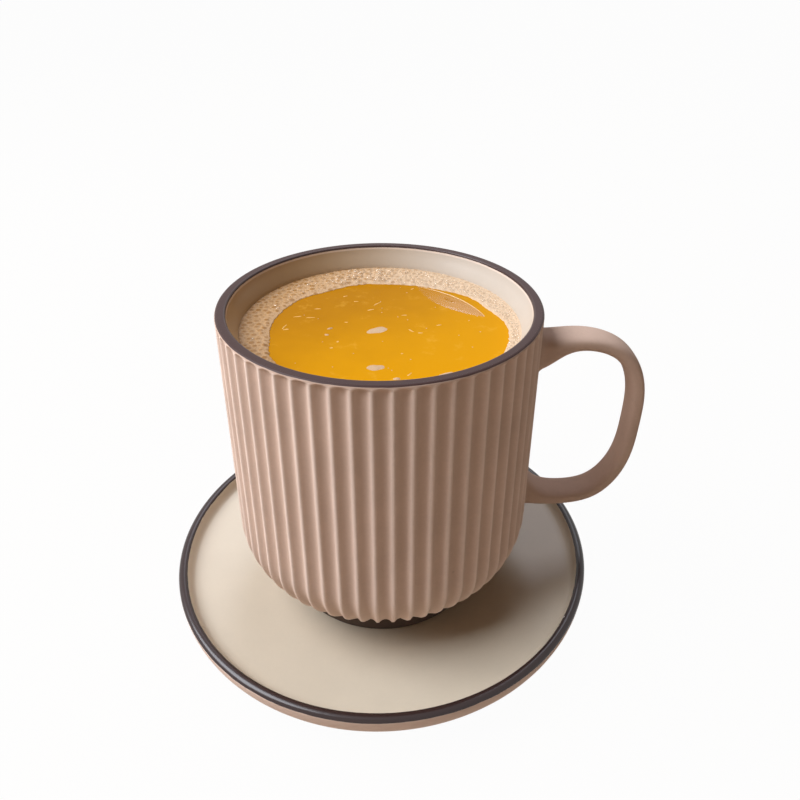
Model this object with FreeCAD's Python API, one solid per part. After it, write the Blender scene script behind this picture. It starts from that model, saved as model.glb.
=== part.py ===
import FreeCAD, Part
import math
import os

# A mug of hot orange juice on its saucer, in millimetres. +Z is up, the saucer stands on
# z = 0, the mug's axis is Z and its handle points along +X.

V = FreeCAD.Vector

# The mug, measured down from its lip and out from its axis.
rim_radius = 45.0           # outside of the lip
mug_height = 99.0           # from the foot ring to the top of the lip
lip_width = 2.9             # glazed top of the wall
lip_round = 0.5
wall_growth = 1.3           # the wall is this much wider at the bottom corner than at the lip
wall_thickness = 6.1        # from the outside of the lip to the bore below it
floor_thickness = 8.0
corner_height = 29.1        # above the foot, where the wall starts to turn in
corner_radius = 22.5
corner_turn = 42.0          # degrees, then the wall runs straight to the foot ring
bore_corner = 18.0
foot_inset = 14.2           # from the outside of the wall to the outside of the foot ring
foot_width = 4.2
foot_recess = 2.0           # hollow under the mug, inside the foot ring

# The grooves round the wall, and the crests left between them.
groove_count = 58
groove_depth = 0.95
crest_width = 0.85
groove_drop = 0.7           # below the lip, where the grooves run out
groove_drift = 1.0          # how far they rise out of the wall over the bottom corner

# The handle: a strap bent in a D, thicker towards the wall where its inner side flares.
handle_reach = 33.1         # from the wall to the middle of the strap at its furthest
handle_drop = 12.6          # from the lip to the middle of the top run
handle_rise = 58.2          # between the middles of the top and bottom runs
strap_width = 8.4           # at the middle of the handle
strap_spread = 3.2          # extra width at each end
strap_thickness = 4.8
top_flare = (6.6, 11.0)     # extra thickness at the wall, and how far out it fades
bottom_flare = (8.2, 9.5)
strap_squareness = 0.68     # 1 is an ellipse, 0 a rectangle

# The drink.
juice_drop = 7.5            # from the lip to the juice's surface
froth_thickness = 0.9
froth_width = 5.7           # from the bore to the clear juice, on average
pool_middle = (1.8, -5.0)   # the froth is widest at the back

# The saucer.
saucer_radius = 68.5
saucer_height = 16.4
saucer_floor = 7.0          # top of the floor, where the mug stands
saucer_lip = 2.8            # glazed edge
saucer_rise = 7.0           # from the flat floor to the outside of the lip
saucer_foot_inset = 24.5    # from the outside of the lip to its foot ring
saucer_foot_width = 4.0
saucer_foot_height = 2.4

lip_z = saucer_floor + mug_height
lip_inside = rim_radius - lip_width
bore_radius = rim_radius - wall_thickness
bore_z = saucer_floor + floor_thickness
wall_radius = rim_radius + wall_growth
corner_z = saucer_floor + corner_height
turn = math.radians(corner_turn)
foot_radius = wall_radius - foot_inset
skirt_radius = foot_radius + 0.9        # where the grooved wall meets the foot ring
arc_end_radius = wall_radius - corner_radius * (1 - math.cos(turn))
skirt_length = (arc_end_radius - skirt_radius) / math.sin(turn)
skirt_z = corner_z - corner_radius * math.sin(turn) - skirt_length * math.cos(turn)


def arc(radius, height, size, start, end):
    """Three points of an arc about (radius, height), its angles in degrees above level."""
    angles = [math.radians(a) for a in (start, (start + end) / 2, end)]
    return [(radius + size * math.cos(a), height + size * math.sin(a)) for a in angles]


def revolve(outline):
    """Turn an outline about Z. It lists (radius, height) points and arcs of three points."""
    edges = []
    last = None
    for step in outline:
        points = [V(r, 0, z) for r, z in (step if isinstance(step, list) else [step])]
        if last and (last - points[0]).Length > 1e-6:
            edges.append(Part.makeLine(last, points[0]))
        if len(points) == 3:
            edges.append(Part.Arc(*points).toShape())
        last = points[-1]
    edges.append(Part.makeLine(last, edges[0].Vertexes[0].Point))
    return Part.Face(Part.Wire(edges)).revolve(V(0, 0, 0), V(0, 0, 1), 360)


def closed_curve(points):
    curve = Part.BSplineCurve()
    curve.interpolate(points, PeriodicFlag=True)
    return Part.Wire(curve.toShape())


def mug_outside():
    """The wall before its grooves are cut: lip, upright wall, round corner and skirt."""
    corner = arc(wall_radius - corner_radius, corner_z, corner_radius, -corner_turn, 0)
    lip = arc(rim_radius - lip_round, lip_z - lip_round, lip_round, 0, 90)
    return revolve([(0, skirt_z), (skirt_radius, skirt_z), corner, lip, (0, lip_z)])


def grooves():
    """Round bars sunk in the wall. Each ends in a half ball under the lip, follows the bottom
    corner and gets shallower there, because the grooves narrow towards the foot."""
    half_width = (2 * math.pi * rim_radius / groove_count - crest_width) / 2
    bar_radius = (half_width ** 2 + groove_depth ** 2) / (2 * groove_depth)
    stand_off = bar_radius - groove_depth
    top = V(rim_radius + stand_off, 0, lip_z - groove_drop - half_width)
    bend = corner_radius + stand_off + groove_drift
    bend_middle = wall_radius + stand_off - bend
    bend_points = [V(r, 0, z) for r, z in arc(bend_middle, corner_z, bend, 0, -corner_turn)]
    run_out = V(-math.sin(turn), 0, -math.cos(turn)) * (skirt_length + 4)
    path = Part.Wire([
        Part.makeLine(top, bend_points[0]),
        Part.Arc(*bend_points).toShape(),
        Part.makeLine(bend_points[2], bend_points[2] + run_out),
    ])
    down = (bend_points[0] - top).normalize()
    bar = path.makePipe(Part.Face(Part.Wire(Part.makeCircle(bar_radius, top, down))))
    bar = bar.fuse(Part.makeSphere(bar_radius, top, down * -1, 0, 90, 360))
    bars = []
    for i in range(groove_count):
        turned = bar.copy()
        turned.rotate(V(0, 0, 0), V(0, 0, 1), (i + 0.5) * 360 / groove_count)
        bars.append(turned)
    return bars


def foot_ring():
    """The ring the mug stands on, joined to the bottom of the wall, with a hollow inside it."""
    inner = foot_radius - foot_width
    join_z = skirt_z + 1.5
    recess_z = saucer_floor + foot_recess
    return revolve([
        (0, recess_z), (inner - 1, recess_z), (inner, saucer_floor), (foot_radius - 0.8, saucer_floor),
        (foot_radius, saucer_floor + 0.8), (foot_radius + 0.3, join_z), (0, join_z),
    ])


def handle():
    """A strap lofted along a spline. Its outer side keeps to the spline, and where it meets
    the wall its inner side flares and it gets wider."""
    spine_points = [
        (-0.07, 0), (0.15, 0), (0.45, 0), (0.77, 0.07), (0.955, 0.24), (1, 0.5),
        (0.94, 0.785), (0.71, 0.96), (0.4, 1), (0.15, 1), (-0.07, 1),
    ]
    top_z = lip_z - handle_drop
    spine = Part.BSplineCurve()
    spine.interpolate([V(rim_radius + u * handle_reach, 0, top_z - v * handle_rise) for u, v in spine_points])
    sections = []
    steps = 30
    for i in range(steps + 1):
        t = i / steps
        at = spine.FirstParameter + t * (spine.LastParameter - spine.FirstParameter)
        middle = spine.value(at)
        along = spine.tangent(at)[0]
        out = V(-along.z, 0, along.x)
        flare, reach = top_flare if t < 0.5 else bottom_flare
        fade = min(1, max(0, middle.x - rim_radius) / reach)
        extra = flare * (0.5 + 0.5 * math.cos(math.pi * fade))
        half_thickness = (strap_thickness + extra) / 2
        half_width = (strap_width + strap_spread * abs(2 * t - 1) ** 1.5) / 2
        ring = []
        for k in range(20):
            c = math.cos(2 * math.pi * k / 20)
            s = math.sin(2 * math.pi * k / 20)
            side = half_width * math.copysign(abs(c) ** strap_squareness, c)
            rise = half_thickness * math.copysign(abs(s) ** strap_squareness, s)
            ring.append(middle + out * (rise - extra / 2) + V(0, side, 0))
        sections.append(closed_curve(ring))
    return Part.makeLoft(sections, True, False)


def bore_outline():
    """Inside of the mug from the middle of its floor up to the lip."""
    return [
        (0, bore_z), arc(bore_radius - bore_corner, bore_z + bore_corner, bore_corner, -90, 0),
        (bore_radius, lip_z - 12), (bore_radius + 0.5, lip_z - 6.6), (lip_inside - 0.35, lip_z - 1.6),
    ]


def mug():
    """Wall, foot ring and handle are one piece of stoneware."""
    round_middle = lip_inside + lip_round
    rounding = arc(round_middle, lip_z - lip_round, lip_round, 170, 90)
    bore = revolve(bore_outline() + [rounding, (round_middle, lip_z + 5), (0, lip_z + 5)])
    return mug_outside().cut(grooves()).fuse([foot_ring(), handle()]).cut(bore).removeSplitter()


def in_bore(low, high):
    """What fills the mug's bore between two heights."""
    inside = revolve(bore_outline() + [(0, lip_z - 1.6)])
    return inside.common(Part.makeCylinder(rim_radius, high - low, V(0, 0, low)))


def juice():
    return in_bore(bore_z, lip_z - juice_drop)


def froth():
    """A ring of foam against the wall, widest at the back, with an uneven inner edge."""
    low = lip_z - juice_drop
    pool_radius = bore_radius - froth_width
    edge = []
    for k in range(48):
        a = 2 * math.pi * k / 48
        wave = 0.5 * math.sin(3 * a + 0.6) + 0.35 * math.sin(7 * a + 2) + 0.25 * math.sin(11 * a)
        r = pool_radius + wave
        edge.append(V(pool_middle[0] + r * math.cos(a), pool_middle[1] + r * math.sin(a), low))
    pool = Part.Face(closed_curve(edge)).extrude(V(0, 0, 2 * froth_thickness))
    return in_bore(low, low + froth_thickness).cut(pool)


def saucer():
    """A flat floor, an upturned edge with a rounded lip, and a foot ring underneath."""
    foot = saucer_radius - saucer_foot_inset
    foot_inside = foot - saucer_foot_width
    well = saucer_radius - saucer_rise
    lip_inner = saucer_radius - saucer_lip
    under_start = (well - 8, saucer_foot_height + 0.2)
    return revolve([
        (0, saucer_foot_height), (foot_inside, saucer_foot_height), (foot_inside + 0.8, 0),
        (foot - 0.8, 0), (foot, saucer_foot_height),
        [under_start, (saucer_radius - 3.6, saucer_floor - 0.6), (saucer_radius, saucer_height - 1)],
        arc(saucer_radius - 1, saucer_height - 1, 1, 0, 90),
        arc(lip_inner + 0.7, saucer_height - 0.75, 0.7, 90, 170),
        arc(well, saucer_floor + 3, 3, 0, -90), (0, saucer_floor),
    ])


os.makedirs("parts", exist_ok=True)
for make in (mug, saucer, juice, froth):
    shape = make()
    solid = shape.Solids[0]
    print(make.__name__, "solids", len(shape.Solids), "valid", solid.isValid(), "mm3", round(solid.Volume))
    solid.exportStep("parts/%s.step" % make.__name__)
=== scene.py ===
"""A mug of hot orange juice on its saucer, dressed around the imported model, in metres."""
import math

import bpy
import numpy as np
from mathutils import Matrix, Vector


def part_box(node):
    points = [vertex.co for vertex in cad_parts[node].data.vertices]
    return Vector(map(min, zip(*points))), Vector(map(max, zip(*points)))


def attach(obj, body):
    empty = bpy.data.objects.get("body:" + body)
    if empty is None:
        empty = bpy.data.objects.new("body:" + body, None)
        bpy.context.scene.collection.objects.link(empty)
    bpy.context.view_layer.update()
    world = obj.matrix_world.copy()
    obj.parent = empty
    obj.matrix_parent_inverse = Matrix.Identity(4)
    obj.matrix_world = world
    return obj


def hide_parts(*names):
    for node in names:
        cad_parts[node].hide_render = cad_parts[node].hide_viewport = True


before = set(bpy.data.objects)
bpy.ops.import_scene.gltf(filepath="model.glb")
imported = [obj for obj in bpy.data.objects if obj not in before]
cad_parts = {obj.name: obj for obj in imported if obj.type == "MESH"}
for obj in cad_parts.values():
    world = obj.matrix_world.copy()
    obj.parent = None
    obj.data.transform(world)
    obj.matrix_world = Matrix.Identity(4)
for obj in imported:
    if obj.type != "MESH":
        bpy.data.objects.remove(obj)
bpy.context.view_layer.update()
scene = bpy.context.scene
scene.view_settings.view_transform = "Standard"


# ------------------------------------------------------------------ table and backdrop
# A plain table top in a white room. The table is warm where its light falls on the stoneware,
# and nearly white where it is seen, so both only carry the shade and the background.

def math_node(nodes, links, operation, first, second=None, third=None):
    """One sum in a shader, where each term is a number or a socket."""
    node = nodes.new("ShaderNodeMath")
    node.operation = operation
    for socket, value in zip(node.inputs, (first, second, third)):
        if isinstance(value, (int, float)):
            socket.default_value = value
        elif value is not None:
            links.new(value, socket)
    return node.outputs[0]


def seen_rays(nodes, links):
    """1 for what the camera sees directly, in a reflection or through glass."""
    path = nodes.new("ShaderNodeLightPath")
    seen = math_node(nodes, links, "MAXIMUM", path.outputs["Is Camera Ray"], path.outputs["Is Glossy Ray"])
    return math_node(nodes, links, "MAXIMUM", seen, path.outputs["Is Transmission Ray"])


def new_material(name, roughness):
    """A material, with its nodes, its links and its main shader."""
    material = bpy.data.materials.new(name)
    material.use_nodes = True
    nodes = material.node_tree.nodes
    shader = nodes["Principled BSDF"]
    shader.inputs["Roughness"].default_value = roughness
    return material, nodes, material.node_tree.links, shader


table_reach = 6.0
table_whiteness = 0.97
table_mesh = bpy.data.meshes.new("table_top")
table_mesh.from_pydata([(-table_reach, -table_reach, 0), (table_reach, -table_reach, 0),
                        (table_reach, table_reach, 0), (-table_reach, table_reach, 0)], [], [(0, 1, 2, 3)])
table_top = bpy.data.objects.new("table_top", table_mesh)
scene.collection.objects.link(table_top)
table_paint, nodes, links, shader = new_material("table_paint", 0.6)
shader.inputs["Base Color"].default_value = (0.47, 0.375, 0.29, 1)
table_white = nodes.new("ShaderNodeEmission")
table_mix = nodes.new("ShaderNodeMixShader")
whiteness = math_node(nodes, links, "MULTIPLY", seen_rays(nodes, links), table_whiteness)
links.new(whiteness, table_mix.inputs["Fac"])
links.new(shader.outputs["BSDF"], table_mix.inputs[1])
links.new(table_white.outputs["Emission"], table_mix.inputs[2])
links.new(table_mix.outputs["Shader"], nodes["Material Output"].inputs["Surface"])
table_mesh.materials.append(table_paint)

room = bpy.data.worlds.new("room")
scene.world = room
room.use_nodes = True
room_nodes, room_links = room.node_tree.nodes, room.node_tree.links
room_light = room_nodes["Background"]
room_light.inputs["Color"].default_value = (1.0, 0.72, 0.54, 1)
room_light.inputs["Strength"].default_value = 0.10
room_white = room_nodes.new("ShaderNodeBackground")
room_white.inputs["Color"].default_value = (1, 1, 1, 1)
room_white.inputs["Strength"].default_value = 1.0
room_mix = room_nodes.new("ShaderNodeMixShader")
room_links.new(seen_rays(room_nodes, room_links), room_mix.inputs["Fac"])
room_links.new(room_light.outputs["Background"], room_mix.inputs[1])
room_links.new(room_white.outputs["Background"], room_mix.inputs[2])
room_links.new(room_mix.outputs["Shader"], room_nodes["World Output"].inputs["Surface"])


# ------------------------------------------------------------------ lights and camera
# Daylight from a broad window high at the left, a smaller one high behind the mug, and a weak
# warm fill from low in front. The camera looks down at the mug from the front.

def window_light(name, place, aim, width, height, power, colour):
    """A soft oblong light, turned towards the point it aims at."""
    lamp = bpy.data.lights.new(name, "AREA")
    lamp.shape = "RECTANGLE"
    lamp.size, lamp.size_y = width, height
    lamp.energy = power
    lamp.color = colour
    light = bpy.data.objects.new(name, lamp)
    light.location = place
    light.rotation_euler = (Vector(aim) - Vector(place)).to_track_quat("-Z", "Y").to_euler()
    scene.collection.objects.link(light)


window_light("window", place=(-0.61, -0.04, 0.78), aim=(0, 0, 0.06), width=0.7, height=0.7,
             power=15.2, colour=(0.89, 0.93, 1.0))
window_light("far_window", place=(0.10, 0.62, 0.95), aim=(0, 0, 0.05), width=0.5, height=0.5,
             power=2.5, colour=(0.84, 0.88, 1.0))
window_light("front_fill", place=(-0.45, -0.9, 0.35), aim=(0, 0, 0.05), width=0.8, height=0.6,
             power=0.25, colour=(1.0, 0.82, 0.70))

lip_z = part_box("mug")[1][2]
camera_forward_of_mug = 0.174181
camera_above_lip = 0.081651
camera = bpy.data.objects.new("camera", bpy.data.cameras.new("camera"))
camera.data.sensor_width = 36
camera.data.lens = 30.873
camera.data.shift_x = -0.025
camera.data.shift_y = -0.0125
camera.data.clip_start = 0.01
right = (0.99841487, -0.05326337, 0.01818678)
up = (0.01335923, 0.53816781, 0.84273183)
forward = (0.05467427, 0.84115303, -0.53802630)
camera.matrix_world = Matrix((
    (right[0], up[0], -forward[0], 0.0),
    (right[1], up[1], -forward[1], -camera_forward_of_mug),
    (right[2], up[2], -forward[2], lip_z + camera_above_lip),
    (0, 0, 0, 1),
))
scene.collection.objects.link(camera)
scene.camera = camera


# ------------------------------------------------------------------ mug
# Thrown stoneware with a fluted wall, an unglazed matte outside, a cream glaze inside and a
# dark glazed lip. The handle is a pulled strap, pressed on and smoothed into the wall.

MM = 0.001
rim_r = 45 * MM
lip_inner = rim_r - 2.9 * MM
lip_round = 0.8 * MM
lip_inner_round = 0.5 * MM
wall_r = 46.3 * MM
corner_z = 36.1 * MM
corner_r = 22.5 * MM
corner_turn = math.radians(42)
foot_r = 32.1 * MM
skirt_r = 33.0 * MM
skirt_z = 12.7 * MM
groove_count = 58
groove_depth = 1.1 * MM
groove_end = 0.9 * MM
groove_top_z = lip_z - 0.7 * MM
shallower_at_skirt = 0.22
crest_width = 0.85 * MM
crest_sharpness = 2.4


def grid_faces(rows, columns, start=0):
    """Quads between rings of vertices that are numbered row by row."""
    faces = []
    for i in range(rows - 1):
        for j in range(columns):
            a = start + i * columns + j
            b = start + i * columns + (j + 1) % columns
            faces.append((a, b, b + columns, a + columns))
    return faces


def turned_over(faces):
    """The same faces, looking the other way."""
    return [face[::-1] for face in faces]


def mesh_piece(name, points, faces, material):
    """A smooth piece of the drink, from its points and faces."""
    mesh = bpy.data.meshes.new(name)
    mesh.from_pydata([tuple(p) for p in points], [], faces)
    mesh.materials.append(material)
    mesh.polygons.foreach_set("use_smooth", [True] * len(mesh.polygons))
    mesh.update()
    piece = bpy.data.objects.new(name, mesh)
    scene.collection.objects.link(piece)
    return piece


def point_values(piece, name, values):
    """Keeps one number at each point of the piece, for its material to read."""
    piece.data.attributes.new(name, "FLOAT", "POINT").data.foreach_set("value", values)


def wall_profile():
    """Radius, height and outward direction down the outside of the wall."""
    rows = []
    for a in np.linspace(90, 0, 9):
        t = math.radians(a)
        rows.append((rim_r - lip_round + lip_round * math.cos(t), lip_z - lip_round + lip_round * math.sin(t),
                     math.cos(t), math.sin(t)))
    for z in np.concatenate([np.linspace(lip_z - 0.9 * MM, lip_z - 5.0 * MM, 20),
                             np.linspace(lip_z - 9 * MM, corner_z, 12)]):
        share = (lip_z - z) / (lip_z - corner_z)
        rows.append((rim_r + (wall_r - rim_r) * share, z, 1.0, 0.0))
    for t in np.linspace(0, corner_turn, 16)[1:]:
        rows.append((wall_r - corner_r + corner_r * math.cos(t), corner_z - corner_r * math.sin(t),
                     math.cos(t), -math.sin(t)))
    end_r, end_z = rows[-1][0], rows[-1][1]
    length = (end_r - skirt_r) / math.sin(corner_turn)
    for s in np.linspace(0, 1, 9)[1:]:
        rows.append((end_r - s * length * math.sin(corner_turn), end_z - s * length * math.cos(corner_turn),
                     math.cos(corner_turn), -math.sin(corner_turn)))
    return rows


def mug_wall_points():
    """Rings down the fluted wall, and how near each point is to the crest of a flute."""
    per_groove = 14
    columns = groove_count * per_groove
    angle = np.arange(columns) / columns * 2 * math.pi
    across = (np.arange(columns) % per_groove) / per_groove - 0.5
    pitch = 2 * math.pi * rim_r / groove_count
    half_width = (pitch - crest_width) / 2
    bar = (half_width ** 2 + groove_depth ** 2) / (2 * groove_depth)
    points, crests = [], []
    for r, z, out_r, out_z in wall_profile():
        past_top, fade = 0.0, 1.0
        if z > corner_z:
            past_top = min(0.0, (groove_top_z - groove_end) - z) * half_width / groove_end
        if z < corner_z:
            fade = 1 - shallower_at_skirt * (corner_z - z) / (corner_z - skirt_z)
        x = across * pitch
        deep = np.sqrt(np.maximum(bar ** 2 - x ** 2 - past_top ** 2, 0)) - (bar - groove_depth)
        deep = np.maximum(deep, 0) * fade
        if z > groove_top_z + 0.05 * MM:
            deep = deep * 0
        rr = r - deep * out_r
        zz = z - deep * out_z
        points.append(np.stack([rr * np.cos(angle), rr * np.sin(angle), zz], axis=1))
        crests.append(np.clip((np.abs(across) * 2) ** crest_sharpness, 0, 1) * (z < groove_top_z))
    return points, crests, columns


def spun(rows, columns):
    """One ring of points for each radius and height."""
    angle = np.arange(columns) / columns * 2 * math.pi
    return [np.stack([r * np.cos(angle), r * np.sin(angle), np.full(columns, z)], axis=1) for r, z in rows]


def arc_rows(r, z, size, start, end, steps):
    """Radius and height along an arc about r and z, between two angles in degrees."""
    return [(r + size * math.cos(a), z + size * math.sin(a))
            for a in np.radians(np.linspace(start, end, steps))]


def smooth_line(knots, count):
    """A smooth curve through the knots, bending as evenly as a springy strip would."""
    run = np.concatenate([[0], np.cumsum(np.linalg.norm(np.diff(knots, axis=0), axis=1))])
    gap = np.diff(run)
    size = len(knots)
    balance, pull = np.eye(size), np.zeros((size, 2))
    for i in range(1, size - 1):
        balance[i, i - 1:i + 2] = gap[i - 1], 2 * (gap[i - 1] + gap[i]), gap[i]
        pull[i] = 6 * ((knots[i + 1] - knots[i]) / gap[i] - (knots[i] - knots[i - 1]) / gap[i - 1])
    bend = np.linalg.solve(balance, pull)
    where = np.linspace(0, run[-1], count)
    i = np.clip(np.searchsorted(run, where) - 1, 0, size - 2)
    before, after, span = (where - run[i])[:, None], (run[i + 1] - where)[:, None], gap[i][:, None]
    curve = (bend[i] * after ** 3 + bend[i + 1] * before ** 3) / (6 * span)
    chord = (knots[i] / span - bend[i] * span / 6) * after
    return curve + chord + (knots[i + 1] / span - bend[i + 1] * span / 6) * before


def handle_points():
    """Rings of the strap along its middle line, flared where it meets the wall."""
    reach, below_lip, tall = 33.1 * MM, 12.6 * MM, 58.2 * MM
    thickness, narrow, widening, squareness = 4.8 * MM, 8.4 * MM, 3.2 * MM, 0.68
    # how much thicker an end is, how far that reaches, and how sharply it fades
    top_flare, bottom_flare = (6.6 * MM, 6.9 * MM, 2.0), (8.2 * MM, 4.6 * MM, 1.4)
    fillet_size, fillet_start, fillet_reach = 1.1 * MM, 0.2 * MM, 1.8 * MM
    spine = np.array([(-0.07, 0), (0.15, 0), (0.45, 0), (0.77, 0.07), (0.955, 0.24), (1, 0.5),
                      (0.94, 0.785), (0.71, 0.96), (0.4, 1), (0.15, 1), (-0.07, 1)])
    spine = np.stack([rim_r + spine[:, 0] * reach, lip_z - below_lip - spine[:, 1] * tall], axis=1)
    path = smooth_line(spine, 400)
    path = np.stack([path[:, 0], np.zeros(len(path)), path[:, 1]], axis=1)
    steps = np.linalg.norm(np.diff(path, axis=0), axis=1)
    run = np.concatenate([[0], np.cumsum(steps)])
    where = np.linspace(0, run[-1], 140)
    middle = np.stack([np.interp(where, run, path[:, k]) for k in range(3)], axis=1)
    along = np.gradient(middle, axis=0)
    along /= np.linalg.norm(along, axis=1)[:, None]
    columns = 48
    turn = np.arange(columns) / columns * 2 * math.pi
    cos, sin = np.cos(turn), np.sin(turn)
    side = np.sign(cos) * np.abs(cos) ** squareness
    rise_out = np.sign(sin) * np.abs(sin) ** squareness
    points = []
    for i, (m, a) in enumerate(zip(middle, along)):
        t = i / (len(middle) - 1)
        out = np.array([-a[2], 0, a[0]])
        flare, fade_reach, fade_power = top_flare if t < 0.5 else bottom_flare
        extra = flare * math.exp(-(max(0, m[0] - rim_r) / fade_reach) ** fade_power)
        fillet = fillet_size * max(0, 1 - max(0, m[0] - rim_r - fillet_start) / fillet_reach) ** 2
        half_t = (thickness + extra) / 2 + fillet
        half_w = (narrow + widening * abs(2 * t - 1) ** 1.5) / 2 + fillet
        ring = (m + out * (rise_out * half_t - extra / 2)[:, None]
                + np.array([0, 1, 0]) * (side * half_w)[:, None])
        points.append(ring)
    return points, columns


def build_mug(outside, inside):
    """Wall, foot ring, lip with the bore inside it, and strap, one after the other."""
    wall, crests, columns = mug_wall_points()
    faces = turned_over(grid_faces(len(wall), columns))
    points = list(np.concatenate(wall))
    start = len(points)
    foot = [(skirt_r - 0.6 * MM, 13.1 * MM), (foot_r + 0.2 * MM, 11.5 * MM), (foot_r, 8.0 * MM),
            (foot_r - 0.25 * MM, 7.3 * MM), (foot_r - 0.8 * MM, 7.0 * MM), (foot_r - 4.2 * MM, 7.0 * MM),
            (foot_r - 5.2 * MM, 9.0 * MM), (0.2 * MM, 9.0 * MM)]
    foot_columns = 192
    points += list(np.concatenate(spun(foot, foot_columns)))
    faces += turned_over(grid_faces(len(foot), foot_columns, start))
    start = len(points)
    lip = [(rim_r - lip_round, lip_z), (rim_r - 1.3 * MM, lip_z)]
    lip += arc_rows(lip_inner + lip_inner_round, lip_z - lip_inner_round, lip_inner_round, 90, 170, 7)
    lip += [(lip_inner - 0.35 * MM, lip_z - 1.6 * MM), (lip_inner - 1.2 * MM, lip_z - 3.4 * MM),
            (39.75 * MM, lip_z - 5.4 * MM), (39.4 * MM, lip_z - 6.6 * MM), (38.95 * MM, lip_z - 12 * MM),
            (38.9 * MM, lip_z - 20 * MM)]
    lip_columns = 256
    points += list(np.concatenate(spun(lip, lip_columns)))
    faces += grid_faces(len(lip), lip_columns, start)
    last_bore_face = len(faces)
    first_bore_face = last_bore_face - (len(lip) - 1 - 2) * lip_columns
    start = len(points)
    strap, strap_columns = handle_points()
    points += list(np.concatenate(strap))
    faces += grid_faces(len(strap), strap_columns, start)
    piece = mesh_piece("mug_stoneware", points, faces, outside)
    slots = np.zeros(len(faces), dtype=np.int32)
    slots[first_bore_face:last_bore_face] = 1
    piece.data.materials.append(inside)
    piece.data.polygons.foreach_set("material_index", slots)
    elsewhere = np.zeros(len(points) - len(wall) * columns)
    point_values(piece, "crest", np.concatenate(crests + [elsewhere]))
    return piece


def new_group(name, inputs, outputs):
    """A shader group with its sockets. inputs maps a name to its default value."""
    group = bpy.data.node_groups.new(name, "ShaderNodeTree")
    for socket, value in inputs.items():
        made = group.interface.new_socket(name=socket, in_out="INPUT", socket_type="NodeSocketFloat")
        made.default_value = value
    for socket in outputs:
        group.interface.new_socket(name=socket, in_out="OUTPUT", socket_type="NodeSocketFloat")
    given, made = group.nodes.new("NodeGroupInput"), group.nodes.new("NodeGroupOutput")
    return group, group.nodes, group.links, given, made


def put_group(nodes, group, **values):
    """Places a group in a material, with this material's own values."""
    node = nodes.new("ShaderNodeGroup")
    node.node_tree = group
    for socket, value in values.items():
        node.inputs[socket].default_value = value
    return node


def mix_colour(nodes, links, factor, first, second):
    """The first colour where the factor is 0 and the second where it is 1."""
    node = nodes.new("ShaderNodeMix")
    node.data_type = "RGBA"
    for socket, value in zip((node.inputs[0], node.inputs[6], node.inputs[7]), (factor, first, second)):
        if isinstance(value, (int, float, tuple)):
            socket.default_value = value
        else:
            links.new(value, socket)
    return node.outputs[2]


def shaded_colour(nodes, links, colour, shade):
    """The colour, made lighter or darker by a value near 1."""
    node = nodes.new("ShaderNodeVectorMath")
    node.operation = "SCALE"
    links.new(colour, node.inputs[0])
    links.new(shade, node.inputs["Scale"])
    return node.outputs["Vector"]


def ramp(nodes, links, value, low, high):
    """0 below low and 1 above high, smooth between."""
    node = nodes.new("ShaderNodeMapRange")
    node.interpolation_type = "SMOOTHSTEP"
    for socket, item in (("Value", value), ("From Min", low), ("From Max", high)):
        if isinstance(item, (int, float)):
            node.inputs[socket].default_value = item
        else:
            links.new(item, node.inputs[socket])
    return node.outputs["Result"]


def noise(nodes, links, scale, detail=3.0, roughness=0.55):
    """Noise in the part's own metres: a scale of 1000 has features of about a millimetre."""
    where = nodes.new("ShaderNodeTexCoord")
    node = nodes.new("ShaderNodeTexNoise")
    node.inputs["Scale"].default_value = scale
    node.inputs["Detail"].default_value = detail
    node.inputs["Roughness"].default_value = roughness
    links.new(where.outputs["Object"], node.inputs["Vector"])
    return node.outputs["Fac"]


# Fired clay: broad mottling, fine grain, and a few dark iron specks.
clay_grain, nodes, links, given, made = new_group(
    "clay_grain", {"Mottle": 0.1, "Grain": 0.1, "Specks": 0.0}, ("Shade", "Height", "Speck"))
broad = noise(nodes, links, 70, 2)
fine = noise(nodes, links, 900, 4, 0.7)
grain = noise(nodes, links, 3200, 3, 0.6)
mottle = math_node(nodes, links, "SUBTRACT", broad, 0.5)
shade = math_node(nodes, links, "MULTIPLY_ADD", mottle, given.outputs["Mottle"], 1.0)
fleck = math_node(nodes, links, "SUBTRACT", fine, 0.5)
links.new(math_node(nodes, links, "MULTIPLY_ADD", fleck, given.outputs["Grain"], shade), made.inputs["Shade"])
tooth = math_node(nodes, links, "MULTIPLY", fine, 0.8)
links.new(math_node(nodes, links, "MULTIPLY_ADD", grain, 0.5, tooth), made.inputs["Height"])
where = nodes.new("ShaderNodeTexCoord")
cells = nodes.new("ShaderNodeTexVoronoi")
cells.inputs["Scale"].default_value = 420
links.new(where.outputs["Object"], cells.inputs["Vector"])
chosen = nodes.new("ShaderNodeSeparateColor")
links.new(cells.outputs["Color"], chosen.inputs["Color"])
rare = math_node(nodes, links, "LESS_THAN", chosen.outputs["Red"], given.outputs["Specks"])
dot = math_node(nodes, links, "LESS_THAN", cells.outputs["Distance"], 0.17)
links.new(math_node(nodes, links, "MULTIPLY", rare, dot), made.inputs["Speck"])

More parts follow.
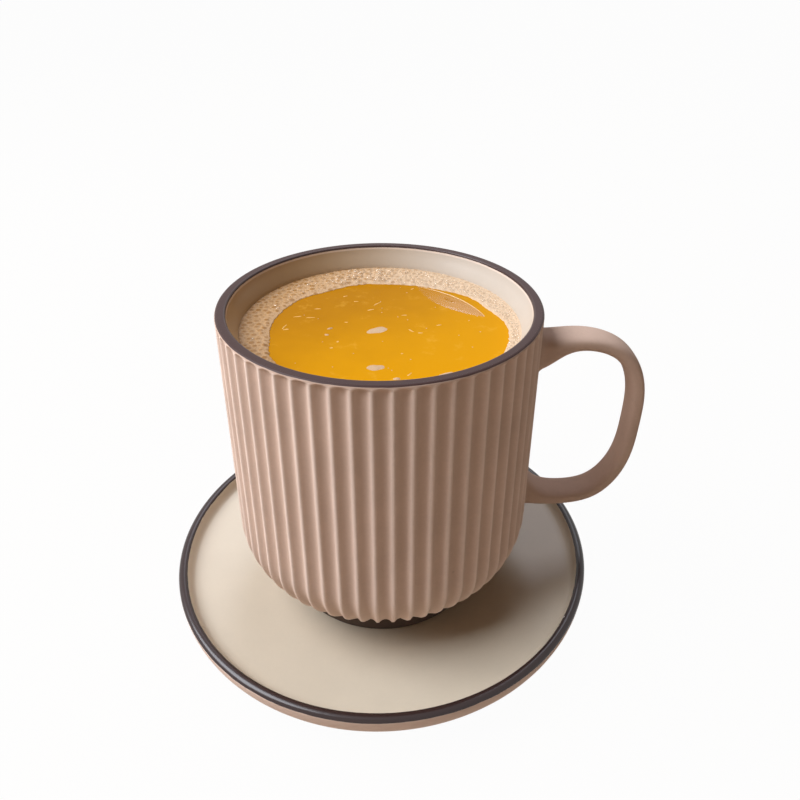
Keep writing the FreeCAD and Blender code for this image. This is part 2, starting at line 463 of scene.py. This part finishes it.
# An edge between two glazes that wanders a little, and how far a surface faces outward.
glaze_line, nodes, links, given, made = new_group(
    "glaze_line", {"Height": 0.1, "Wander": 0.0002, "Blend": 0.0002}, ("Above", "Outward"))
where = nodes.new("ShaderNodeTexCoord")
place = nodes.new("ShaderNodeSeparateXYZ")
links.new(where.outputs["Object"], place.inputs["Vector"])
sway = math_node(nodes, links, "SUBTRACT", noise(nodes, links, 160, 2), 0.5)
height = math_node(nodes, links, "MULTIPLY_ADD", sway, given.outputs["Wander"], place.outputs["Z"])
top = math_node(nodes, links, "ADD", given.outputs["Height"], given.outputs["Blend"])
links.new(ramp(nodes, links, height, given.outputs["Height"], top), made.inputs["Above"])
flat = nodes.new("ShaderNodeCombineXYZ")
links.new(place.outputs["X"], flat.inputs["X"])
links.new(place.outputs["Y"], flat.inputs["Y"])
length = nodes.new("ShaderNodeVectorMath")
length.operation = "LENGTH"
links.new(flat.outputs["Vector"], length.inputs[0])
facing = nodes.new("ShaderNodeNewGeometry")
outward = nodes.new("ShaderNodeVectorMath")
outward.operation = "DOT_PRODUCT"
links.new(flat.outputs["Vector"], outward.inputs[0])
links.new(facing.outputs["Normal"], outward.inputs[1])
share = math_node(nodes, links, "DIVIDE", outward.outputs["Value"], length.outputs["Value"])
links.new(share, made.inputs["Outward"])


def bump(nodes, links, shader, height, strength, distance):
    """Fine relief, too small for the mesh."""
    node = nodes.new("ShaderNodeBump")
    node.inputs["Strength"].default_value = strength
    node.inputs["Distance"].default_value = distance
    links.new(height, node.inputs["Height"])
    links.new(node.outputs["Normal"], shader.inputs["Normal"])


CLAY = (0.63, 0.455, 0.36, 1)
# The crest colour: partly the clay's own lighter edges, partly painted light on the crests.
CREST_PALE_AND_LIT = (0.90, 0.72, 0.62, 1)
LIP = (0.048, 0.023, 0.020, 1)
CREAM = (0.605, 0.53, 0.415, 1)
IRON = (0.22, 0.15, 0.12, 1)
FOOT_DARK = (0.085, 0.058, 0.045, 1)

# Outside of the mug: bare clay, with the dark glaze over the lip and the foot ring darker brown.
# The crests are lighter: partly the clay's own lighter edges, partly painted light, as the crests
# catch the window and the grooves between them stay darker as painted shade.
mug_clay, nodes, links, shader = new_material("mug_clay", 0.78)
shader.inputs["Specular IOR Level"].default_value = 0.2
grainy = put_group(nodes, clay_grain, Mottle=0.22, Grain=0.16, Specks=0.004)
line = put_group(nodes, glaze_line, Height=lip_z - 0.42 * MM, Wander=0.25 * MM, Blend=0.15 * MM)
foot_line = put_group(nodes, glaze_line, Height=12.6 * MM, Wander=0.4 * MM, Blend=0.3 * MM)
crest = nodes.new("ShaderNodeAttribute")
crest.attribute_name = "crest"
# Painted light, in part: the crests are made lighter where they catch the window, and the grooves stay darker
# as painted shade.
pale_and_lit_share = math_node(nodes, links, "MULTIPLY", crest.outputs["Fac"], 0.9)
colour = mix_colour(nodes, links, pale_and_lit_share, CLAY, CREST_PALE_AND_LIT)
colour = shaded_colour(nodes, links, colour, grainy.outputs["Shade"])
speck = math_node(nodes, links, "MULTIPLY", grainy.outputs["Speck"], 0.2)
colour = mix_colour(nodes, links, speck, colour, IRON)
# The foot ring below the skirt is made darker brown.
colour = mix_colour(nodes, links, foot_line.outputs["Above"], FOOT_DARK, colour)
colour = mix_colour(nodes, links, line.outputs["Above"], colour, LIP)
links.new(colour, shader.inputs["Base Color"])
rough = math_node(nodes, links, "MULTIPLY_ADD", line.outputs["Above"], -0.30, 0.78)
links.new(rough, shader.inputs["Roughness"])
bump(nodes, links, shader, grainy.outputs["Height"], 0.35, 0.00012)

# Inside of the mug: smooth cream glaze, with the dark glaze of the lip ending in a thin line.
# Just under it a thin lighter band is a painted highlight along the rounded inner edge, and the
# wall is painted darker and browner towards the left, where it lies in shade.
bore_glaze, nodes, links, shader = new_material("bore_glaze", 0.32)
shader.inputs["Specular IOR Level"].default_value = 0.28
grainy = put_group(nodes, clay_grain, Mottle=0.12, Grain=0.05, Specks=0.0)
line = put_group(nodes, glaze_line, Height=lip_z - 0.7 * MM, Wander=0.15 * MM, Blend=0.12 * MM)
painted_highlight_line = put_group(nodes, glaze_line, Height=lip_z - 1.3 * MM, Wander=0.15 * MM, Blend=0.25 * MM)
where = nodes.new("ShaderNodeTexCoord")
place = nodes.new("ShaderNodeSeparateXYZ")
links.new(where.outputs["Object"], place.inputs["Vector"])
# Painted shade: the inner wall is made darker and browner towards the left, where it lies in shade and takes
# warm light off the juice.
painted_lit_share = ramp(nodes, links, place.outputs["X"], -38 * MM, 30 * MM)
colour = mix_colour(nodes, links, painted_lit_share, (0.47, 0.315, 0.16, 1), (0.56, 0.495, 0.42, 1))
colour = shaded_colour(nodes, links, colour, grainy.outputs["Shade"])
# Painted highlight: the thin lighter band under the dark lip stands for light on the rounded inner edge.
pale_and_lit_share = math_node(nodes, links, "MULTIPLY", painted_highlight_line.outputs["Above"], 0.7)
colour = mix_colour(nodes, links, pale_and_lit_share, colour, (0.80, 0.67, 0.57, 1))
links.new(mix_colour(nodes, links, line.outputs["Above"], colour, LIP), shader.inputs["Base Color"])
bump(nodes, links, shader, grainy.outputs["Height"], 0.08, 0.0001)

mug = build_mug(mug_clay, bore_glaze)
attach(mug, "root")
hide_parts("mug")


# ------------------------------------------------------------------ saucer
# The same clay, pressed as a shallow dish with a small upturned edge, a rounded lip and a foot
# ring. Cream glaze covers the inside, the dark glaze runs over the lip, the outside is bare.

saucer_r, _, saucer_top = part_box("saucer")[1]
saucer_lip_width = 1.5 * MM
saucer_lip_rise = 1.3 * MM
saucer_lip_r = saucer_r - saucer_lip_width
saucer_lip_z = saucer_top - saucer_lip_rise
lip_steps = 19
floor_z = 7 * MM
well_r = 34 * MM
dish_r = 63.6 * MM
dish_rise = 5.2 * MM
SAUCER_LIP = (0.030, 0.0155, 0.0145, 1)
SAUCER_CLAY = (0.74, 0.565, 0.47, 1)


def saucer_rows():
    """Radius and height from the middle of the floor, over the lip and back underneath, and
    the number of the lip's first row."""
    rows = [(0.2 * MM, floor_z), (20 * MM, floor_z), (well_r, floor_z)]
    for share in np.linspace(0, 1, 16)[1:]:
        rows.append((well_r + (dish_r - well_r) * share, floor_z + dish_rise * share ** 1.25))
    rows += [(64.1 * MM, 12.42 * MM), (64.55 * MM, 12.85 * MM), (64.9 * MM, 13.4 * MM),
             (65.2 * MM, 14.05 * MM), (65.4 * MM, 14.65 * MM)]
    first_lip_row = len(rows)
    rows += [(saucer_lip_r + saucer_lip_width * math.cos(t), saucer_lip_z + saucer_lip_rise * math.sin(t))
             for t in np.radians(np.linspace(180, 0, lip_steps))]
    rows += arc_rows(55.59 * MM, 15.35 * MM, 12.91 * MM, -2, -99, 18)
    rows += [(46 * MM, 2.5 * MM), (44.3 * MM, 2.4 * MM), (44.0 * MM, 2.2 * MM), (43.4 * MM, 0.25 * MM),
             (43.1 * MM, 0.0), (40.9 * MM, 0.0), (40.6 * MM, 0.25 * MM), (40.0 * MM, 2.2 * MM),
             (39.7 * MM, 2.4 * MM), (0.2 * MM, 2.4 * MM)]
    return np.array(rows), first_lip_row


def build_saucer(material):
    """The dish, with its distance in millimetres into the dark band kept at each point."""
    (rows, first_lip_row), columns = saucer_rows(), 360
    run = np.concatenate([[0], np.cumsum(np.linalg.norm(np.diff(rows, axis=0), axis=1))])
    band_start = run[first_lip_row + 3]
    band_end = run[first_lip_row + lip_steps - 1] - 0.25 * MM
    into = np.clip(np.minimum(run - band_start, band_end - run) / MM, -1, 1)
    points = np.concatenate(spun(rows, columns))
    piece = mesh_piece("saucer_stoneware", points, turned_over(grid_faces(len(rows), columns)), material)
    point_values(piece, "band", np.repeat(into, columns))
    return piece


saucer_clay, nodes, links, shader = new_material("saucer_clay", 0.3)
shader.inputs["Specular IOR Level"].default_value = 0.42
grainy = put_group(nodes, clay_grain, Mottle=0.10, Grain=0.06, Specks=0.012)
line = put_group(nodes, glaze_line, Height=saucer_top, Wander=0.0, Blend=0.2 * MM)
band = nodes.new("ShaderNodeAttribute")
band.attribute_name = "band"
sway = math_node(nodes, links, "SUBTRACT", noise(nodes, links, 160, 2), 0.5)
into_band = math_node(nodes, links, "MULTIPLY_ADD", sway, 0.5, band.outputs["Fac"])
dark = ramp(nodes, links, into_band, -0.07, 0.07)
bare = ramp(nodes, links, line.outputs["Outward"], 0.02, 0.12)
facing = nodes.new("ShaderNodeNewGeometry")
tilt = nodes.new("ShaderNodeSeparateXYZ")
links.new(facing.outputs["Normal"], tilt.inputs["Vector"])
under = math_node(nodes, links, "LESS_THAN", tilt.outputs["Z"], -0.3)
bare = math_node(nodes, links, "MAXIMUM", bare, under)
colour = mix_colour(nodes, links, bare, CREAM, SAUCER_CLAY)
colour = shaded_colour(nodes, links, colour, grainy.outputs["Shade"])
colour = mix_colour(nodes, links, dark, colour, SAUCER_LIP)
pinhole = math_node(nodes, links, "MULTIPLY", grainy.outputs["Speck"], dark)
colour = mix_colour(nodes, links, pinhole, colour, (0.5, 0.45, 0.42, 1))
links.new(colour, shader.inputs["Base Color"])
rough = math_node(nodes, links, "MULTIPLY_ADD", bare, 0.45, 0.30)
smoother = math_node(nodes, links, "SUBTRACT", 0.24, rough)
links.new(math_node(nodes, links, "MULTIPLY_ADD", dark, smoother, rough), shader.inputs["Roughness"])
bump(nodes, links, shader, grainy.outputs["Height"], 0.14, 0.0001)

saucer = build_saucer(saucer_clay)
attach(saucer, "root")
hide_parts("saucer")


# ------------------------------------------------------------------ juice
# Cloudy orange juice, filled to a finger's width below the lip. It is a little darker towards
# the back left and brighter towards the front right.

DEEP_JUICE = (0.415, 0.168, 0.002, 1)
BRIGHT_JUICE = (0.65, 0.288, 0.002, 1)
PULP_WISP = (0.78, 0.42, 0.05, 1)


def metres_along(nodes, links, direction):
    """How far a point lies along a direction from the mug's axis."""
    where = nodes.new("ShaderNodeTexCoord")
    node = nodes.new("ShaderNodeVectorMath")
    node.operation = "DOT_PRODUCT"
    node.inputs[1].default_value = direction
    links.new(where.outputs["Object"], node.inputs[0])
    return node.outputs["Value"]


juice_liquid, nodes, links, shader = new_material("juice_liquid", 0.16)
shader.inputs["Specular IOR Level"].default_value = 0.03
shader.inputs["IOR"].default_value = 1.34
to_front_right = metres_along(nodes, links, (0.62, -0.78, 0))
cloud = math_node(nodes, links, "SUBTRACT", noise(nodes, links, 55, 3, 0.6), 0.5)
drift = math_node(nodes, links, "MULTIPLY_ADD", cloud, 0.03, to_front_right)
colour = mix_colour(nodes, links, ramp(nodes, links, drift, -0.03, 0.03), DEEP_JUICE, BRIGHT_JUICE)
wisps = ramp(nodes, links, noise(nodes, links, 190, 4, 0.7), 0.56, 0.78)
wisps = math_node(nodes, links, "MULTIPLY", wisps, 0.35)
links.new(mix_colour(nodes, links, wisps, colour, PULP_WISP), shader.inputs["Base Color"])
bump(nodes, links, shader, noise(nodes, links, 120, 2), 0.05, 0.0005)
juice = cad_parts["juice"]
juice.data.materials.clear()
juice.data.materials.append(juice_liquid)


# ------------------------------------------------------------------ froth
# A ring of foam against the glaze: coarse bubbles at the left and the back, fine ones at the
# right. It is domed bubble by bubble, and thin where a bubble is large.

(_, _, juice_z), (_, _, froth_top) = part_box("froth")
pool_r = 33.2
froth_outer = 39.47 * MM
large_bubble = 0.6 * MM
# Foam colours at the left and the right: partly the foam's own, partly painted shade and painted light.
FOAM_LEFT_COARSE_AND_SHADED = (0.52, 0.31, 0.145, 1)
FOAM_RIGHT_FINE_AND_LIT = (0.66, 0.49, 0.33, 1)
FOAM_PIT = (0.50, 0.27, 0.09, 1)
FOAM_HOLE = (0.31, 0.13, 0.012, 1)
random = np.random.default_rng(7)
wander_steps = 240
edge_wander = random.normal(0, 0.15, wander_steps)


def pool_edge(angle):
    """Radius of the clear juice about the pool's middle."""
    wave = 0.5 * np.sin(3 * angle + 0.6) + 0.35 * np.sin(7 * angle + 2) + 0.25 * np.sin(11 * angle)
    around = np.arange(wander_steps + 1) / wander_steps * 2 * math.pi
    small = np.interp(angle % (2 * math.pi), around, np.append(edge_wander, edge_wander[0]))
    return (pool_r + wave + small) * MM


def froth_inner(angle):
    """Radius of the froth's inner edge about the mug's axis, found by a few steps."""
    pool_middle = np.array([1.8, -5.0]) * MM
    r = np.full_like(angle, 33 * MM)
    for _ in range(12):
        x, y = r * np.cos(angle) - pool_middle[0], r * np.sin(angle) - pool_middle[1]
        r = r + (pool_edge(np.arctan2(y, x)) - np.hypot(x, y))
    return r


def scatter_bubbles():
    """Middle and radius of each bubble, large ones first and none much over another."""
    kept = np.zeros((0, 3))
    tries_by_size = ((1.15, 150), (0.85, 900), (0.66, 2500), (0.5, 4000), (0.34, 7000))
    for size, tries in tries_by_size:
        angle = random.uniform(0, 2 * math.pi, tries)
        inner = froth_inner(angle)
        share = np.sqrt(random.uniform(0, 1, tries))
        r = inner + (39.5 * MM - inner) * share
        coarse = np.clip(0.55 + 0.6 * np.cos(angle - math.radians(160)), 0, 1)
        at_back = np.exp(-((angle - math.radians(97)) / math.radians(14)) ** 2)
        x, y = r * np.cos(angle), r * np.sin(angle)
        radius = size * MM * random.uniform(0.85, 1.15, tries)
        chance = at_back if size > 1 else np.maximum(coarse * (0.9 if size > 0.8 else 1), at_back)
        chance = np.full(tries, 0.8) if size < 0.4 else chance
        wanted = random.uniform(0, 1, tries) < chance
        for k in np.flatnonzero(wanted):
            if len(kept):
                gap = np.hypot(kept[:, 0] - x[k], kept[:, 1] - y[k]) - (kept[:, 2] + radius[k]) * 1.02
                if gap.min() < 0:
                    continue
            kept = np.vstack([kept, (x[k], y[k], radius[k])])
    return kept


def build_froth(material):
    """The ring's top, with its depth of hole from 0 to 1 kept at each point."""
    columns, rows = 960, 44
    dome_height, rim_height, rim_spread = 0.3, 0.10 * MM, 0.22
    angle = np.arange(columns) / columns * 2 * math.pi
    inner = froth_inner(angle)
    share = np.linspace(0, 1, rows)[:, None]
    r = inner[None, :] + (froth_outer - inner[None, :]) * share
    x, y = r * np.cos(angle), r * np.sin(angle)
    relief = np.zeros_like(x)
    hole = np.zeros_like(x)
    for bx, by, radius in scatter_bubbles():
        centre = int(math.atan2(by, bx) / (2 * math.pi) * columns)
        reach = int(radius * 1.5 / (30 * MM) / (2 * math.pi) * columns) + 3
        cols = np.arange(centre - reach, centre + reach + 1) % columns
        d = np.hypot(x[:, cols] - bx, y[:, cols] - by) / radius
        bulge = np.sqrt(np.maximum(1 - d ** 2, 0)) * radius * dome_height
        ring = np.exp(-((d - 1) / rim_spread) ** 2) * rim_height
        relief[:, cols] = np.maximum(relief[:, cols], np.maximum(bulge, ring))
        depth = random.uniform(0.6, 1.0) if radius > large_bubble else random.uniform(0.3, 0.8)
        hole[:, cols] = np.maximum(hole[:, cols], np.clip((0.95 - d) / 0.25, 0, 1) * depth)
    edge = np.minimum(1, share * 5)
    z = juice_z + 0.10 * MM + (0.30 * MM + 0.35 * MM * share ** 2 + relief * 0.9) * edge
    z = np.minimum(z, froth_top - 0.02 * MM)
    skirt_r = inner * 0.999
    skirt = np.stack([skirt_r * np.cos(angle), skirt_r * np.sin(angle), np.full(columns, juice_z)], axis=1)
    points = list(skirt) + list(np.stack([x, y, z], axis=2).reshape(-1, 3))
    piece = mesh_piece("froth_ring", points, turned_over(grid_faces(rows + 1, columns)), material)
    point_values(piece, "clear", np.concatenate([np.zeros(columns), hole.reshape(-1)]))
    return piece


froth_foam, nodes, links, shader = new_material("froth_foam", 0.3)
shader.inputs["Specular IOR Level"].default_value = 0.25
clear = nodes.new("ShaderNodeAttribute")
clear.attribute_name = "clear"
to_right = ramp(nodes, links, metres_along(nodes, links, (1, 0.2, 0)), -0.03, 0.035)
# Partly painted light: the foam is darker and browner at the left, partly from coarse bubbles showing the
# juice and partly as painted shade from the mug's left wall, and lighter where it is lit at the right.
foam = mix_colour(nodes, links, to_right, FOAM_LEFT_COARSE_AND_SHADED, FOAM_RIGHT_FINE_AND_LIT)
where = nodes.new("ShaderNodeTexCoord")
tiny = nodes.new("ShaderNodeTexVoronoi")
tiny.inputs["Scale"].default_value = 2300
links.new(where.outputs["Object"], tiny.inputs["Vector"])
pits = ramp(nodes, links, tiny.outputs["Distance"], 0.15, 0.5)
pits = math_node(nodes, links, "MULTIPLY_ADD", pits, -0.25, 0.25)
foam = mix_colour(nodes, links, pits, foam, FOAM_PIT)
weaker = math_node(nodes, links, "MULTIPLY_ADD", to_right, -0.62, 0.95)
holes = math_node(nodes, links, "MULTIPLY", clear.outputs["Fac"], weaker)
links.new(mix_colour(nodes, links, holes, foam, FOAM_HOLE), shader.inputs["Base Color"])
bump(nodes, links, shader, tiny.outputs["Distance"], 0.5, 0.0002)

froth = build_froth(froth_foam)
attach(froth, "root")
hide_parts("froth")


# ------------------------------------------------------------------ large bubbles
# Clear bubbles sit in the froth, the largest against the glaze at the back. Each is a thin
# wet dome, and what lies under it shows through.

def cap_faces(rings, sides, start):
    """Faces of a cap: its first point is the top, and its rings of points follow."""
    fan = [(start, start + 1 + k, start + 1 + (k + 1) % sides) for k in range(sides)]
    return fan + turned_over(grid_faces(rings, sides, start + 1))


def domes(middles, rings=5, sides=16):
    """A dome over each middle, a little lower than a half ball."""
    points, faces, squat = [], [], 0.8
    for x, y, z, radius in middles:
        start = len(points)
        points.append((x, y, z + radius * squat))
        for ring in range(1, rings + 1):
            t = ring / rings * math.pi / 2
            for k in range(sides):
                a = 2 * math.pi * k / sides
                points.append((x + radius * math.sin(t) * math.cos(a), y + radius * math.sin(t) * math.sin(a),
                               z + radius * squat * math.cos(t)))
        faces += cap_faces(rings, sides, start)
    return points, faces


bubbles = []
bubbles_reach = 39.2 * MM
# radius in millimetres, how many, and where they gather round the mug, in degrees
for size, count, about, spread in ((1.25, 9, 97, 9), (0.85, 26, 95, 17), (0.6, 70, 70, 34),
                                   (0.5, 18, 140, 40), (0.4, 260, 30, 42), (0.32, 260, 15, 40)):
    for _ in range(count):
        angle = math.radians(random.normal(about, spread))
        inner = froth_inner(np.array([angle]))[0]
        radius = size * MM * random.uniform(0.75, 1.15)
        if inner + radius > bubbles_reach - radius:
            continue
        r = random.uniform(inner + radius, bubbles_reach - radius)
        x, y = r * math.cos(angle), r * math.sin(angle)
        if all(math.hypot(x - bx, y - by) > (radius + b) * 0.95 for bx, by, _, b in bubbles):
            bubbles.append((x, y, juice_z + 0.55 * MM, radius))

bubble_skin, nodes, links, shader = new_material("bubble_skin", 0.05)
shader.inputs["Base Color"].default_value = (0.80, 0.62, 0.42, 1)
shader.inputs["Specular IOR Level"].default_value = 0.9
# Painted sheen: each skin turns more solid and pale towards its rim, standing for the light a bubble's rim
# reflects.
rim = nodes.new("ShaderNodeLayerWeight")
rim.inputs["Blend"].default_value = 0.35
painted_rim_sheen = math_node(nodes, links, "MULTIPLY_ADD", rim.outputs["Facing"], 0.75, 0.10)
links.new(painted_rim_sheen, shader.inputs["Alpha"])
froth_bubbles = mesh_piece("froth_bubbles", *domes(bubbles), bubble_skin)
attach(froth_bubbles, "root")


# ------------------------------------------------------------------ foam islands and pulp
# Two rafts of fine foam float in the middle, and shreds of pulp and small foam flecks lie in
# the surface. Each is a low, uneven cushion, half sunk in the juice.

def cushion(points, faces, x, y, half_length, half_width, heading, height, rings=5, sides=18, wobble=0.22):
    """Adds a flat dome with an uneven outline to a list of points and faces."""
    start = len(points)
    turn = np.arange(sides) / sides * 2 * math.pi
    lobes = sum(size * np.sin(count * turn + random.uniform(0, 6))
                for size, count in ((0.6, 2), (0.4, 3), (0.3, 5)))
    lobes = 1 + wobble * lobes
    cos, sin = math.cos(heading), math.sin(heading)
    points.append((x, y, juice_z + height))
    for ring in range(1, rings + 1):
        share = ring / rings
        z = juice_z + height * (1 - share ** 2.5) - 0.05 * MM * share
        for k in range(sides):
            a = share * lobes[k] * half_length * math.cos(turn[k])
            b = share * lobes[k] * half_width * math.sin(turn[k])
            points.append((x + a * cos - b * sin, y + a * sin + b * cos, z))
    faces += cap_faces(rings, sides, start)


foam_points, foam_faces = [], []
# middle, half length and half width in millimetres, and heading
for x, y, half_length, half_width, heading in (
        (-1.2, -3.6, 3.1, 1.9, 0.30), (-1.7, -24.0, 2.5, 1.5, 0.25), (16.0, -27.6, 2.0, 0.7, 0.35),
        (3.6, -29.5, 0.9, 0.7, 0.2), (-15.1, -6.0, 0.65, 0.55, 0.0), (-14.4, -2.3, 0.95, 0.5, 0.6)):
    cushion(foam_points, foam_faces, x * MM, y * MM, half_length * MM, half_width * MM, heading,
            height=0.22 * MM, rings=8, sides=36, wobble=0.16)
fleck_count, fleck_reach = 26, 29 * MM
for _ in range(fleck_count):
    a, r = random.uniform(0, 2 * math.pi), fleck_reach * math.sqrt(random.uniform(0, 1))
    cushion(foam_points, foam_faces, r * math.cos(a), r * math.sin(a) - 3 * MM, 0.22 * MM, 0.2 * MM, 0,
            height=0.10 * MM, rings=3, sides=10)
islands = mesh_piece("foam_islands", foam_points, foam_faces, froth_foam)
point_values(islands, "clear", np.zeros(len(foam_points)))
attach(islands, "root")

pulp_flesh, nodes, links, shader = new_material("pulp_flesh", 0.3)
colour = mix_colour(nodes, links, noise(nodes, links, 1500, 2), (0.68, 0.33, 0.03, 1), (0.74, 0.46, 0.14, 1))
links.new(colour, shader.inputs["Base Color"])
pulp_points, pulp_faces = [], []
# middle and half length in millimetres, and heading
for x, y, half_length, heading in (
        (-3.2, 9.4, 1.5, 0.5), (-1.2, 13.6, 1.7, 0.8), (-24.1, 5.3, 1.3, 0.2), (-18.7, 10.3, 1.3, 0.0),
        (-20.5, 4.6, 1.5, 0.1), (-27.2, -1.0, 1.6, 1.2), (-26.6, -2.6, 1.2, 0.4), (16.2, -0.8, 0.9, 0.3),
        (6.8, -27.5, 1.0, 0.9), (5.3, -16.9, 0.5, 0.0), (8.2, -4.0, 1.2, -0.8), (10.7, -5.4, 0.9, 0.1),
        (6.7, 5.7, 1.0, 0.0), (-11.0, 18.9, 0.9, 0.6), (-7.6, 15.2, 0.8, 0.0), (-13.4, -13.4, 0.7, 0.2),
        (-11.9, -10.0, 0.7, 1.0), (-10.0, 1.5, 0.6, 0.0), (9.8, 24.2, 1.0, 1.0)):
    cushion(pulp_points, pulp_faces, x * MM, y * MM, half_length * MM, 0.3 * MM, heading,
            height=0.09 * MM, rings=3, sides=14, wobble=0.35)
pulp = mesh_piece("pulp_shreds", pulp_points, pulp_faces, pulp_flesh)
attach(pulp, "root")


# ------------------------------------------------------------------ large bubble
# A wide, almost flat bubble has spread along the froth at the back right. Its skin is thin
# and pale, and its edge stands up as a fine bright line.

def bubble_outline(share):
    """Two arcs between the bubble's ends: share 0 to 1 goes along the froth, and 1 to 2 back."""
    first, last = np.array([11.5, 25.6]), np.array([30.0, 4.4])
    along = last - first
    across = np.array([-along[1], along[0]]) / np.linalg.norm(along)
    t, widest = (share, 3.2) if share <= 1 else (2 - share, -4.2)
    bow = widest * math.sin(math.pi * t) ** 0.8
    return (first + along * t + across * bow) * MM


film_rows, film_sides = 8, 72
film_rise = 0.42 * MM
middle = (bubble_outline(0.5) + bubble_outline(1.5)) / 2
film_points = [(middle[0], middle[1], juice_z + film_rise)]
for row in range(1, film_rows + 1):
    share = row / film_rows
    for k in range(film_sides):
        edge = bubble_outline(2 * k / film_sides)
        x, y = middle + (edge - middle) * share
        film_points.append((x, y, juice_z + film_rise * (1 - share ** 2.2) + 0.02 * MM))
film_faces = [(0, 1 + (k + 1) % film_sides, 1 + k) for k in range(film_sides)]
film_faces += turned_over(grid_faces(film_rows, film_sides, 1))

film_skin, nodes, links, shader = new_material("film_skin", 0.08)
shader.inputs["Base Color"].default_value = (0.74, 0.47, 0.24, 1)
shader.inputs["Specular IOR Level"].default_value = 0.6
pale = ramp(nodes, links, metres_along(nodes, links, (0.66, -0.75, 0)), -9 * MM, 12 * MM)
links.new(math_node(nodes, links, "MULTIPLY_ADD", pale, 0.30, 0.07), shader.inputs["Alpha"])
film = mesh_piece("bubble_film", film_points, film_faces, film_skin)
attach(film, "root")

# The fine bright line where the skin stands against the froth: a thread, thickest midway.
edge_steps, edge_sides = 60, 8
edge_points = []
for k in range(edge_steps):
    share = k / (edge_steps - 1)
    here = bubble_outline(share)
    ahead = bubble_outline(min(1, share + 0.02)) - bubble_outline(max(0, share - 0.02))
    out = np.array([ahead[1], -ahead[0]]) / np.linalg.norm(ahead)
    size = (0.03 + 0.08 * math.sin(math.pi * share)) * MM
    for j in range(edge_sides):
        a = 2 * math.pi * j / edge_sides
        x, y = here + out * size * math.cos(a)
        edge_points.append((x, y, juice_z + 0.04 * MM + size * math.sin(a)))
edge_faces = grid_faces(edge_steps, edge_sides)

film_edge, nodes, links, shader = new_material("film_edge", 0.12)
# The thread's lighter colour is a painted highlight, for the light the raised edge catches.
colour = mix_colour(nodes, links, noise(nodes, links, 700, 2), (0.78, 0.50, 0.18, 1), (0.88, 0.70, 0.46, 1))
links.new(colour, shader.inputs["Base Color"])
rim_line = mesh_piece("bubble_edge", edge_points, edge_faces, film_edge)
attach(rim_line, "root")
